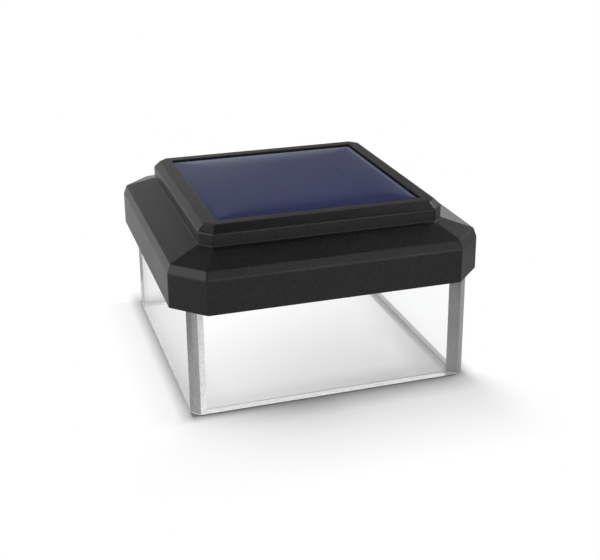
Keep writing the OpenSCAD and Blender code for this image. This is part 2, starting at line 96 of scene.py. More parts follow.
class CapSizes(bpy.types.PropertyGroup):
    """Sizes of the moulded cap, the same as the solid's but for the roundings."""
    half_width: length("Half width", 75.0, "Half the lower tier's width across its flats")
    rim_z: length("Rim", 52.0, "Height of the cap's lower rim")
    wall_z: length("Wall top", 68.3, "Height of the lower wall's top")
    bevel_z: length("Bevel top", 72.6, "Height where the roof slope starts")
    slope_z: length("Slope top", 77.6, "Height where the upper tier starts")
    tier_z: length("Tier wall top", 83.7, "Height of the upper tier's wall top")
    top_z: length("Top", 87.0, "Height of the flat top frame")
    bevel_in: length("Bevel lean", 1.6, "How far the bevel leans in")
    tier_half: length("Upper tier", 59.0, "Half the upper tier's width")
    crown_in: length("Crown lean", 3.2, "How far the crown bevel leans in")
    window_half: length("Window", 50.0, "Half the window's width")
    window_z: length("Window floor", 82.8, "Height of the floor under the panel")
    ceiling_z: length("Ceiling", 80.6, "Height of the shell's inner ceiling")
    wall: length("Wall", 2.0, "Thickness of the moulded wall")
    wall_cut: length("Wall's corner cut", 14.5, "Corner cut of the lower wall, along each side")
    bevel_cut: length("Bevel's corner cut", 13.3, "Corner cut at the bevel's top")
    tier_cut: length("Tier's corner cut", 5.5, "Corner cut of the upper tier")
    crown_cut: length("Crown's corner cut", 3.8, "Corner cut of the flat top frame")
    window_cut: length("Window's corner cut", 0.3, "Corner cut of the window")
    cut_step: length("Cut step", 1.2, "How much smaller the corner cuts are inside the wall")
    low_round: length("Lower corner rounding", 1.3, "Radius of the lower tier's upright edges")
    high_round: length("Upper corner rounding", 1.5, "Radius of the upper tier's and the inner upright edges")
    window_round: length("Window's corner rounding", 0.35, "Radius of the window's upright edges")
    edge: length("Edge rounding", 0.9, "Trim of the rounded long edges")


class GlassSizes(bpy.types.PropertyGroup):
    """Sizes of the four mitred panes, the same as the solids'."""
    half_width: length("Half width", 68.2, "Half the skirt's width across its outer faces")
    thickness: length("Thickness", 8.0, "Thickness of the glass")
    height: length("Height", 60.0, "Height of a pane")
    cut: length("Corner cut", 4.2, "Corner cut of the skirt, half of it ground on each pane")
    arris: length("Arris", 0.5, "Ground arris along the bottom edges")


class Finishes(bpy.types.PropertyGroup):
    """Colours and gloss of the finishes."""
    plastic: colour("Cap plastic", (0.0050, 0.0048, 0.0052), "Black moulded plastic")
    plastic_roughness: share("Cap roughness", 0.34, "Roughness of the moulded plastic")
    cell: colour("Cells", (0.032, 0.046, 0.145), "Dark blue silicon")
    finger: colour("Fingers", (0.08, 0.10, 0.21), "Fine silver fingers, dulled by the resin")
    glass: colour("Glass", (0.995, 0.998, 0.998), "Clear float glass")
    ground: colour("Ground glass", (0.44, 0.44, 0.44), "Ground edges of the glass")
    # Painted light: a lighter copy of the ground glass for the front right corner
    ground_painted_lighter: colour("Ground glass painted lighter", (0.60, 0.60, 0.60), "Ground edges at the front right corner, painted lighter")
    coarse: colour("Coarse ground glass", (0.94, 0.94, 0.93), "Coarsely ground joints and foot of the glass")
    finger_pitch: length("Finger pitch", 1.35, "Distance between two fingers")


class Studio(bpy.types.PropertyGroup):
    """Camera, floor and lamps."""
    target: FloatVectorProperty(name="Target", description="Point on the camera's axis", unit="LENGTH",
                                subtype="TRANSLATION", default=(0.00683, 0.00432, 0.06239))
    distance: length("Distance", 563.0, "Distance from the target to the camera")
    azimuth: bearing("Azimuth", -17.47, "Turn of the camera about Z")
    elevation: bearing("Elevation", 19.55, "Height of the camera as an angle")
    roll: bearing("Roll", -0.43, "Roll about the view axis")
    lens: number("Lens", 65.48, "Focal length in millimetres")
    shift_y: number("Shift", -0.1, "Vertical lens shift")
    floor: colour("Floor", (0.88, 0.88, 0.88), "Pale floor")
    # From floor_glow to shade_fade: the floor's painted shadow, where its white glow is held back at the
    # skirt's foot, inside the skirt and in a dark hem along the right pane
    floor_glow: share("Floor glow", 0.07, "How far the floor by the skirt shows as plain white")
    foot_inner: length("Foot's inner edge", 60.2, "Half width of the floor inside the glass's foot")
    floor_glow_right: share("Glow under the right pane", 0.36, "How far the floor there shows as white")
    floor_glow_low: share("Low glow inside", 0.44, "How far the floor at the front right shows as white")
    floor_glow_high: share("High glow inside", 0.97, "How far the floor at the back left shows as white")
    floor_gloss: share("Floor in gloss", 0.50, "Brightness of the floor as a glossy face mirrors it")
    shade_reach: length("Shade", 68.0, "Half width of the square from which the shadow fades")
    shade_hem: length("Shade hem", 3.4, "Breadth of the dark hem along the right pane, as the glass shows it")
    shade_squeeze: number("Shade squeeze", 10.0, "How much sooner the shadow ends at the sides")
    shade_fade: length("Shade fade", 85.0, "Distance over which the floor goes on to plain white in front")
    horizon: number("Horizon", 1.5, "World strength low behind the object")
    before: number("Before", 0.62, "World strength low in front of the object")
    screen_drop: number("Screen drop", 0.15, "How much lower the screen hangs on the right")
    zenith: number("Zenith", 0.09, "World strength overhead")
    patch: number("Patch", 1.6, "Strength of the pale patch low on the left")
    key: number("Key lamp", 2.3, "Power of the soft lamp high at the back left", "POWER")
    side: number("Side lamp", 9.0, "Power of the soft lamp high on the right", "POWER")
    front: number("Front lamp", 1.4, "Power of the soft lamp low in front", "POWER")


# ---------------------------------------------------------------- shader maths

class Wire:
    """One socket of a node tree, with the sums that the finishes use written as Python expressions."""

    def __init__(self, shop, socket):
        self.shop, self.socket = shop, socket

    def _math(self, operation, *values):
        return self.shop.node("ShaderNodeMath", {"operation": operation}, dict(enumerate(values)))["Value"]

    def __add__(self, other):
        return self._math("ADD", self, other)

    __radd__ = __add__

    def __sub__(self, other):
        return self._math("SUBTRACT", self, other)

    def __rsub__(self, other):
        return self._math("SUBTRACT", other, self)

    def __mul__(self, other):
        return self._math("MULTIPLY", self, other)

    __rmul__ = __mul__

    def __truediv__(self, other):
        return self._math("DIVIDE", self, other)

    def __rtruediv__(self, other):
        return self._math("DIVIDE", other, self)

    def __gt__(self, other):
        return self._math("GREATER_THAN", self, other)

    def __lt__(self, other):
        return self._math("LESS_THAN", self, other)

    def frac(self):
        """The part after the point."""
        return self._math("FRACT", self)

    def size(self):
        """The value without its sign."""
        return self._math("ABSOLUTE", self)

    def root(self):
        """The square root."""
        return self._math("SQRT", self)

    def at_least(self, low):
        """The larger one of the value and low."""
        return self._math("MAXIMUM", self, low)

    def clamp(self):
        """The value held between 0 and 1."""
        return self.shop.node("ShaderNodeClamp", {}, {"Value": self})["Result"]


class Outputs:
    """A node's output sockets by name."""

    def __init__(self, shop, node):
        self.shop, self.raw = shop, node

    def __getitem__(self, name):
        return Wire(self.shop, self.raw.outputs[name])


class Shop:
    """A node tree and the one method that adds any node to it."""

    def __init__(self, owner):
        owner.use_nodes = True
        self.tree = owner.node_tree
        self.tree.nodes.clear()

    def node(self, kind, settings, inputs):
        """Adds a node, applies its settings, then sets or links its inputs."""
        made = self.tree.nodes.new(kind)
        for name, value in settings.items():
            if name == "stops":
                ramp = made.color_ramp
                while len(ramp.elements) < len(value):
                    ramp.elements.new(0.5)
                for element, (place, tone) in zip(ramp.elements, value):
                    element.position, element.color = place, (*tone, 1)
            else:
                setattr(made, name, value)
        for name, value in inputs.items():
            if isinstance(value, Wire):
                self.tree.links.new(value.socket, made.inputs[name])
            elif made.inputs[name].type == "RGBA":
                made.inputs[name].default_value = (*value, 1)
            else:
                made.inputs[name].default_value = value
        return Outputs(self, made)

    def place(self):
        """Object coordinates, in metres."""
        return self.node("ShaderNodeTexCoord", {}, {})["Object"]

    def axes(self, vector):
        """The three coordinates of a vector as separate wires."""
        parts = self.node("ShaderNodeSeparateXYZ", {}, {"Vector": vector})
        return parts["X"], parts["Y"], parts["Z"]

    def noise(self, vector, scale, detail=2.0, roughness=0.5):
        """Smooth noise from 0 to 1 with features of about 1 / scale metres."""
        return self.node("ShaderNodeTexNoise", {}, {
            "Vector": vector, "Scale": scale, "Detail": detail, "Roughness": roughness})["Fac"]

    def specks(self, vector, scale, contrast, detail):
        """Noise whose contrast is raised about its middle and which is held between 0 and 1."""
        return (contrast * self.noise(vector, scale, detail, 0.6) - 0.5 * (contrast - 1)).clamp()

    def ramp(self, value, low, high, start, end, smooth=False):
        """Goes from start to end as value goes from low to high."""
        return self.node("ShaderNodeMapRange", {
            "clamp": True, "interpolation_type": "SMOOTHSTEP" if smooth else "LINEAR"}, {
            "Value": value, "From Min": low, "From Max": high, "To Min": start, "To Max": end})["Result"]

    def blend(self, factor, first, second):
        """Colour that goes from first to second as factor goes from 0 to 1."""
        made = self.tree.nodes.new("ShaderNodeMix")
        made.data_type = "RGBA"
        for index, value in ((0, factor), (6, first), (7, second)):
            if isinstance(value, Wire):
                self.tree.links.new(value.socket, made.inputs[index])
            else:
                made.inputs[index].default_value = value if index == 0 else (*value, 1)
        return Wire(self, made.outputs[2])

    def bump(self, height, depth, strength=1.0):
        """Normal of a relief whose height runs from 0 to 1 over the given depth in metres."""
        return self.node("ShaderNodeBump", {}, {
            "Strength": strength, "Distance": depth, "Height": height})["Normal"]

    def finish(self, shader):
        """Links a shader to the output."""
        kind = "ShaderNodeOutputWorld" if isinstance(self.tree.id_data, bpy.types.World) \
            else "ShaderNodeOutputMaterial"
        self.node(kind, {}, {"Surface": shader})


def principled(shop, **inputs):
    """A Principled shader whose sockets are given with underscores for spaces."""
    return shop.node("ShaderNodeBsdfPrincipled", {}, {
        name.replace("_", " "): value for name, value in inputs.items()})["BSDF"]


def material(name):
    """A new material and its shop."""
    made = bpy.data.materials.new(name)
    return made, Shop(made)


def scaled(tone, times):
    """A colour times a number, held at 1."""
    return [min(1.0, c * times) for c in tone]


def moulded_plastic(name, tone, roughness, grain=2600.0, depth=0.03 * MM, mottle=0.1):
    """Moulded plastic: a fine spark-eroded grain with specks of tone, and broad faint changes of gloss."""
    made, shop = material(name)
    place = shop.place()
    relief = shop.noise(place, grain, 3.0, 0.6)
    clouds = shop.noise(place, 45.0)
    specks = shop.specks(place, grain, 4, 2.0)
    shop.finish(principled(
        shop,
        Base_Color=shop.blend(specks, scaled(tone, 1 - mottle), scaled(tone, 1 + 1.55 * mottle)),
        Roughness=roughness - 0.09 + 0.1 * clouds + 0.08 * specks,
        Normal=shop.bump(relief, depth, 0.7)))
    return made


def foam(name, tone):
    """Closed-cell foam or rubber: small round cells and no gloss."""
    made, shop = material(name)
    cells = shop.node("ShaderNodeTexVoronoi", {}, {"Vector": shop.place(), "Scale": 2200.0})["Distance"]
    shop.finish(principled(
        shop, Base_Color=shop.blend(cells, scaled(tone, 0.6), tone), Roughness=0.9,
        Normal=shop.bump(cells, 0.08 * MM)))
    return made


def plain_metal(name, tone, roughness):
    """Drawn or plated metal: fine streaks along one axis and slight dulling."""
    made, shop = material(name)
    place = shop.place()
    x, y, z = shop.axes(place)
    drawn = shop.node("ShaderNodeCombineXYZ", {}, {"X": x * 0.12, "Y": y, "Z": z})["Vector"]
    streaks = shop.noise(drawn, 3800.0)
    dulling = shop.noise(place, 260.0)
    shop.finish(principled(
        shop, Base_Color=shop.blend(dulling, scaled(tone, 0.8), tone), Metallic=1.0,
        Roughness=roughness - 0.08 + 0.16 * streaks, Normal=shop.bump(streaks, 0.01 * MM)))
    return made


def solder_mask(name, tone, copper):
    """Board lacquer over a web of copper tracks: short dashes at a slant, 2.6 mm by 4.1 mm apart."""
    made, shop = material(name)
    place = shop.place()
    x, y, _ = shop.axes(place)
    lane = ((x + y * 0.4) / (2.6 * MM)).frac()
    cross = ((y - x * 0.15) / (4.1 * MM)).frac()
    track = (lane < 0.32) * (cross < 0.62)
    speck = shop.noise(place, 900.0)
    shop.finish(principled(
        shop, Base_Color=shop.blend(track * (0.6 + 0.4 * speck), tone, copper), Roughness=0.35,
        Coat_Weight=0.3, Normal=shop.bump(track, 0.03 * MM)))
    return made


def glossy_plastic(name, tone, roughness=0.25):
    """Smooth plastic or sleeve with faint waviness."""
    made, shop = material(name)
    waves = shop.noise(shop.place(), 320.0)
    shop.finish(principled(
        shop, Base_Color=shop.blend(waves, scaled(tone, 0.88), tone), Roughness=roughness,
        Normal=shop.bump(waves, 0.02 * MM)))
    return made


def silicon_cells(name, cell, finger, pitch):
    """Silicon under resin: fine fingers along Y, faint changes of blue from place to place."""
    made, shop = material(name)
    place = shop.place()
    x, y, _ = shop.axes(place)
    line = ((x / pitch).frac() - 0.5).size() < 0.07
    clouds = shop.noise(place, 38.0)
    grain = shop.noise(place, 700.0)
    body = shop.blend(clouds, scaled(cell, 0.85), scaled(cell, 1.25))
    shop.finish(principled(
        shop, Base_Color=shop.blend(line * 0.6, body, finger), Roughness=0.30 + 0.1 * grain, Metallic=0.85,
        Normal=shop.bump(line, 0.01 * MM)))
    return made


def clear_resin(name):
    """Poured clear resin with a faint orange peel."""
    made, shop = material(name)
    peel = shop.noise(shop.place(), 140.0)
    shop.finish(principled(
        shop, Base_Color=(0.93, 0.94, 0.98), Roughness=0.04, IOR=1.5, Transmission_Weight=1.0,
        Normal=shop.bump(peel, 0.012 * MM, 0.5)))
    return made


def polished_glass(name, tone):
    """Clear float glass with barely visible draw waves."""
    made, shop = material(name)
    draw = shop.noise(shop.place(), 16.0, 1.0)
    shop.finish(principled(
        shop, Base_Color=tuple(tone), Roughness=0.0, IOR=1.5, Transmission_Weight=1.0,
        Normal=shop.bump(draw, 0.02 * MM, 0.3)))
    return made


def ground_glass(name, tone, clear=0.45, ior=1.5, depth=0.12 * MM, glow=0.0):
    """Ground glass: scattered pits, so that it glows softly instead of showing what lies behind it; glow adds
    a painted glow, an emission in the grains' colour.
    """
    made, shop = material(name)
    place = shop.place()
    pits = shop.noise(place, 1500.0, 4.0, 0.65)
    grains = shop.blend(shop.specks(place, 1200.0, 3, 1.0), scaled(tone, 0.7), tone)
    shop.finish(principled(
        shop, Base_Color=grains, Roughness=0.45 + 0.2 * pits, IOR=ior, Transmission_Weight=clear,
        Emission_Color=grains, Emission_Strength=glow, Normal=shop.bump(pits, depth)))
    return made


# ---------------------------------------------------------------- surfaces

def rounded_line(points, trims, steps=4):
    """Polyline whose corners are replaced by parabolic arcs.

    At corner V the line leaves its way in at A = V - t a and joins its way out at B = V + t b, where a and b
    are the unit directions in the first two columns' plane and t is the trim, at most 0.45 of the leg. The
    arc is (1 - s)^2 A + 2 s (1 - s) V + s^2 B for s from 0 to 1. All columns are carried along in proportion.
    """
    points, trims = np.asarray(points, float), np.asarray(trims, float)
    legs = points[1:] - points[:-1]
    spans = np.hypot(legs[:, 0], legs[:, 1])
    inner = points[1:-1]
    most = 0.45 * spans
    t_in = np.minimum(trims, most[:-1])[:, None] / spans[:-1, None]
    t_out = np.minimum(trims, most[1:])[:, None] / spans[1:, None]
    start = inner - t_in * legs[:-1]
    end = inner + t_out * legs[1:]
    s = np.linspace(0, 1, steps + 1)[None, :, None]
    arcs = (1 - s) ** 2 * start[:, None] + 2 * s * (1 - s) * inner[:, None] + s ** 2 * end[:, None]
    return np.vstack([points[:1], arcs.reshape(-1, points.shape[1]), points[-1:]])


def octagon_rings(line, steps=4):
    """Rings of a square with cut and rounded corners, one for each row (half width, z, cut, radius).

    Side j faces the angle 45 j and lies at distance d from the axis: the half width h on the flats and
    (2 h - cut) / sqrt 2 on the cuts. A corner's centre C solves n1 . C = d1 - radius and
    n2 . C = d2 - radius, and its arc is C + radius (cos q, sin q) as q goes from one side's angle to the
    next one's.
    """
    half, height, cut, radius = np.asarray(line, float).T
    slant = (2 * half - cut) / np.sqrt(2)
    side = np.arange(8)
    angle = side * np.pi / 4
    d1 = np.where(side % 2 == 0, half[:, None], slant[:, None]) - radius[:, None]
    d2 = np.roll(d1, -1, axis=1)
    c = np.cos(np.pi / 4)
    a, b = (d1 - c * d2) / (1 - c * c), (d2 - c * d1) / (1 - c * c)
    cx = a * np.cos(angle) + b * np.cos(angle + np.pi / 4)
    cy = a * np.sin(angle) + b * np.sin(angle + np.pi / 4)
    q = angle[:, None] + np.linspace(0, np.pi / 4, steps + 1)[None, :]
    x = cx[:, :, None] + radius[:, None, None] * np.cos(q)[None]
    y = cy[:, :, None] + radius[:, None, None] * np.sin(q)[None]
    rows = len(half)
    z = np.broadcast_to(height[:, None, None], x.shape)
    return np.stack([x, y, z], axis=-1).reshape(rows, -1, 3)


def loft(rings):
    """Vertices and faces of a tube through equal rings, with a face on each end. Seen from outside, the rings
    run bottom to top and their points anticlockwise."""
    rows, count = rings.shape[:2]
    index = np.arange(rows * count).reshape(rows, count)
    low, high = index[:-1], index[1:]
    quads = np.stack([low, np.roll(low, -1, axis=1), np.roll(high, -1, axis=1), high], axis=-1).reshape(-1, 4)
    return rings.reshape(-1, 3), quads.tolist() + [index[0][::-1].tolist(), index[-1].tolist()]


def piece(name, shape, materials, indices=None, smooth=True):
    """A mesh object from vertices and faces; a smooth one weights its normals by the faces' areas."""
    points, faces = shape
    mesh = bpy.data.meshes.new(name)
    mesh.from_pydata(np.asarray(points, float).tolist(), [], faces)
    mesh.update()
    made = bpy.data.objects.new(name, mesh)
    bpy.context.scene.collection.objects.link(made)
    for one in materials:
        mesh.materials.append(one)
    if indices is not None:
        mesh.polygons.foreach_set("material_index", np.asarray(indices, np.int32))
    mesh.polygons.foreach_set("use_smooth", np.full(len(mesh.polygons), smooth))
    if smooth:
        weights = made.modifiers.new("weights", "WEIGHTED_NORMAL")
        weights.mode, weights.weight, weights.keep_sharp = "FACE_AREA", 50, False
    return made


def dress(node, finish):
    """Gives a CAD node its material."""
    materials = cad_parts[node].data.materials
    materials.clear()
    materials.append(finish)


# ---------------------------------------------------------------- operators

class POSTCAP_OT_cap(bpy.types.Operator):
    """Builds the moulded cap as one closed skin with rounded edges"""
    bl_idname = "postcap.cap"
    bl_label = "Moulded cap"

    def execute(self, context):
        size, look = context.scene.cap_sizes, context.scene.finishes
        half, wall, tier = size.half_width, size.wall, size.tier_half
        step, low_round, high_round = size.cut_step, size.low_round, size.high_round
        # Rows of half width, z, corner cut, corner radius and the share of the edge rounding, from the
        # ceiling's middle down the inside, up the outside and in to the middle of the window's floor
        rows = np.array([
            (HUB[0], size.ceiling_z, HUB[1], HUB[2], 0),
            (tier - 2 * wall, size.ceiling_z, size.tier_cut - step, high_round, 0.5),
            (tier - wall, size.slope_z - 0.4 * wall, size.tier_cut - step, high_round, 0.5),
            (half - size.bevel_in - wall, size.bevel_z - wall, size.bevel_cut - step, high_round, 0.5),
            (half - wall, size.wall_z, size.wall_cut - step, high_round, 0.5),
            (half - wall, size.rim_z, size.wall_cut - step, high_round, 0.25),
            (half, size.rim_z, size.wall_cut, low_round, 0.35),
            (half, size.wall_z, size.wall_cut, low_round, 0.9),
            (half - size.bevel_in, size.bevel_z, size.bevel_cut, low_round, 0.35),
            (tier, size.slope_z, size.tier_cut, high_round, 0.5),
            (tier, size.tier_z, size.tier_cut, high_round, 0.9),
            (tier - size.crown_in, size.top_z, size.crown_cut, high_round, 0.8),
            (size.window_half, size.top_z, size.window_cut, size.window_round, 0.35),
            (size.window_half, size.window_z, size.window_cut, size.window_round, 0.2),
            (HUB[0], size.window_z, HUB[1], HUB[2], 0),
        ])
        shell = loft(octagon_rings(rounded_line(rows[:, :4], rows[1:-1, 4] * size.edge)))
        plastic = moulded_plastic("cap plastic", tuple(look.plastic), look.plastic_roughness, grain=1500.0,
                                  depth=0.14 * MM, mottle=0.9)
        made = piece("cap_skin", shell, [plastic])
        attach(made, HOUSING)
        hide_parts("cap_shell")
        return {"FINISHED"}


class POSTCAP_OT_panel(bpy.types.Operator):
    """Builds the poured resin over the cells and finishes the cells, board and tape"""
    bl_idname = "postcap.panel"
    bl_label = "Solar panel"

    def execute(self, context):
        look = context.scene.finishes
        resin = piece("resin_dome", self.dome(), [clear_resin("clear resin")])
        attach(resin, HOUSING)
        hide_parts("panel_resin")
        silicon = silicon_cells("silicon cells", tuple(look.cell), tuple(look.finger), look.finger_pitch)
        dress("solar_cells", silicon)
        dress("panel_board", silicon)
        dress("panel_tape", foam("panel foam", (0.03, 0.03, 0.03)))
        return {"FINISHED"}

    def dome(self):
        """Pillow of resin: its top rises by crown sin a while it comes in by border (1 - cos a), as the
        solid's does. The outer 3 mm lie on one slope, so the bright line along the far edges is even."""
        low, high = (Vector(corner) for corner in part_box("panel_resin"))
        crown, border = 0.8 * MM, 20.0 * MM
        # The foot stands a little way in the board, so that the two faces don't lie in one plane
        foot = low.z - 0.02 * MM
        # Cut and radius of the corners at the wall, and how much they grow on the way in
        corner, growth = np.array([0.6, 0.7]) * MM, np.array([3.4, 5.3]) * MM
        bend = np.radians([31.8, 38, 50, 64, 78, 90])
        inward = 1 - np.cos(bend)
        top = np.column_stack([high.x - border * inward, high.z - crown * (1 - np.sin(bend)),
                               corner + growth * inward[:, None]])
        rows = np.vstack([
            (HUB[0], foot, HUB[1], HUB[2]), (high.x, foot, *corner), (high.x, high.z - crown, *corner),
            top, (0.5 * HUB[0], high.z, HUB[1], HUB[2])])
        trims = np.array([0.05, 0.35, 0.8] + [0.3] * 5) * MM
        return loft(octagon_rings(rounded_line(rows, trims)))


class POSTCAP_OT_glass(bpy.types.Operator):
    """Builds the four mitred panes with clear faces, ground bevels and ground bottom edges"""
    bl_idname = "postcap.glass"
    bl_label = "Glass skirt"

    def execute(self, context):
        look = context.scene.finishes
        coarse = tuple(look.coarse)
        # In the order of their numbers: 0 polished, 1 ground, 2 coarse foot, 3 coarse joint, 4 ground painted
        # lighter.
        # The coarse joint has a painted glow, an emission that stands in for the light running along the pane
        # to its edge
        finishes = [
            polished_glass("polished glass", look.glass),
            ground_glass("ground glass", tuple(look.ground)),
            ground_glass("coarse ground foot", coarse, clear=0.8, ior=1.03),
            ground_glass("coarse ground joint with painted glow", coarse, clear=0.25, ior=1.45, depth=0.40 * MM, glow=0.38),
            ground_glass("ground glass painted lighter", tuple(look.ground_painted_lighter)),
        ]
        points, faces = self.pane(context.scene.glass_sizes)
        # Painted light: the glowing coarse joint at the front left corner and the lighter ground glass at the
        # front right one
        for side, turn, right_bevel, right_joint, left_joint, left_bevel, foot in (
                ("front", 0, 4, 4, 3, 1, 2), ("right", 90, 1, 1, 4, 4, 1),
                ("back", 180, 2, 2, 1, 1, 2), ("left", 270, 1, 3, 2, 1, 2)):
            # Six faces of the arris, six sides, the bottom and the top
            finish = [foot] * 6 + [0, right_bevel, right_joint, 0, left_joint, left_bevel] + [foot, 1]
            spin = np.array(Matrix.Rotation(radians(turn), 3, "Z"))
            made = piece("pane_" + side, (points @ spin.T, faces), finishes, finish, smooth=False)
            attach(made, HOUSING)
            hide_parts("glass_" + side)
        dress("glass_bed", glossy_plastic("silicone bed", (0.62, 0.66, 0.68), 0.35))
        return {"FINISHED"}

    def pane(self, size):
        """The front pane: its outline from the left outer corner round to the mitre's point, carried up from
        the arris at the foot to the top."""
        r, t, c, a = size.half_width, size.thickness, size.cut, size.arris
        # A hair's gap at the right end keeps the two faces of a joint apart
        gap = 0.04 * MM
        outline = np.array([[c - r, -r], [r - c, -r], [r - c / 2 - gap, c / 2 - r],
                            [r - t - gap, t - r], [t - r, t - r], [c / 2 - r, c / 2 - r]])
        # Push of each outline point at the foot, where the arris leans it into the pane
        lean = np.array([[0, a], [0, a], [0, 0], [0, -a], [0, -a], [0, 0]])
        return loft(np.stack([
            np.column_stack([outline + lean, np.zeros(6)]),
            np.column_stack([outline, np.full(6, a)]),
            np.column_stack([outline, np.full(6, size.height)])]))


class POSTCAP_OT_underside(bpy.types.Operator):
    """Finishes the tray, lamp ring, battery bay and controls"""
    bl_idname = "postcap.underside"
    bl_label = "Underside and controls"

    def execute(self, context):
        tone = tuple(context.scene.finishes.plastic)
        steel = plain_metal("screw steel", (0.62, 0.62, 0.63), 0.34)
        spring = plain_metal("nickel wire", (0.70, 0.70, 0.69), 0.28)
        plate = plain_metal("nickel sheet", (0.72, 0.72, 0.71), 0.24)
        black_foam = foam("seal foam", (0.035, 0.035, 0.035))
        sleeve = (0.05, 0.25, 0.12)
        for node, one in {
                "base_tray": moulded_plastic("tray plastic", tone, 0.5),
                "battery_cover": moulded_plastic("cover plastic", tone, 0.48),
                "rim_seal": black_foam, "cover_seal": black_foam,
                "tray_screws": steel, "cover_screws": steel, "board_screws": steel,
                "lamp_board": solder_mask("lamp board lacquer", (0.78, 0.78, 0.75), (0.66, 0.66, 0.62)),
                "lamps": glossy_plastic("lamp phosphor", (0.85, 0.70, 0.22), 0.4),
                "lamp_cover": moulded_plastic("frosted cover", (0.80, 0.82, 0.82), 0.5, grain=1400.0),
                "battery_front": glossy_plastic("battery sleeve front", sleeve),
                "battery_back": glossy_plastic("battery sleeve back", sleeve),
                "battery_springs": spring, "contact_plates": plate, "contact_bridge": plate,
                "control_board": solder_mask("control lacquer", (0.02, 0.16, 0.06), (0.06, 0.30, 0.10)),
                "controller_chip": moulded_plastic("chip package", (0.02, 0.02, 0.02), 0.6),
                "charge_coil": moulded_plastic("ferrite", (0.045, 0.04, 0.038), 0.65),
                "capacitor": glossy_plastic("capacitor sleeve", (0.03, 0.05, 0.16)),
                "panel_socket": moulded_plastic("socket plastic", (0.72, 0.68, 0.58), 0.5),
                "switch_body": plain_metal("switch can", (0.62, 0.63, 0.64), 0.3),
                "switch_slider": moulded_plastic("slider plastic", (0.02, 0.02, 0.02), 0.5),
        }.items():
            dress(node, one)
        return {"FINISHED"}


